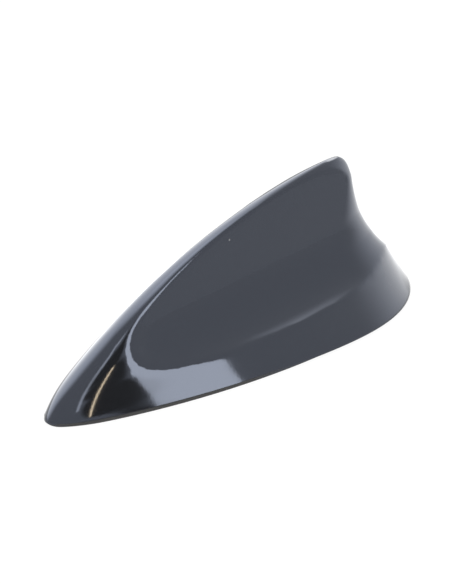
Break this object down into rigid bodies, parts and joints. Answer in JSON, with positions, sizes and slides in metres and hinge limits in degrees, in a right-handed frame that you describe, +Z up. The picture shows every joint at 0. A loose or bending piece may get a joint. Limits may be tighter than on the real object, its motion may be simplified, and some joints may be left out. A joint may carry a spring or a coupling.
{
  "type": "car antenna",
  "caption": "Glossy black shark-fin car roof antenna: a swept fin with scooped flanks on a teardrop foot, sealed to the roof by a rubber rim and held by a threaded spigot.",
  "frame": {"origin": "on the axis of the fixing thread, in the roof plane that the seals rest on", "axes": "+X towards the rear of the car, +Z up from the roof, +Y to the right of the car"},
  "size_m": [0.181, 0.068, 0.0739],
  "materials": {
    "gloss_paint": "black car paint under a clear coat",
    "rubber": "matt black rubber",
    "casting": "as cast, lightly blasted",
    "spring_steel": "bright stamped sheet",
    "screw_steel": "zinc plated",
    "board": "solder mask",
    "ceramic": "fired, unglazed",
    "tin": "tinned sheet",
    "chip": "moulded",
    "copper": "rolled copper",
    "socket_plastic": "moulded",
    "gold": "gold plated",
    "insulator": "white plastic"
  },
  "bodies": {
    "root": {"fin_cover": "gloss_paint", "rim_seal": "rubber", "hole_seal": "rubber", "base_plate": "casting", "roof_spigot": "casting", "earth_frame": "spring_steel", "cover_screws": "screw_steel", "main_board": "board", "fin_board": "board", "patch_antenna": "ceramic", "patch_feed_pin": "gold", "shield_can": "tin", "amplifier_chips": "chip", "fin_radiator": "copper", "socket_housing": "socket_plastic", "socket_barrel": "gold", "socket_insulator": "insulator", "socket_pin": "gold"}
  },
  "joints": []
}
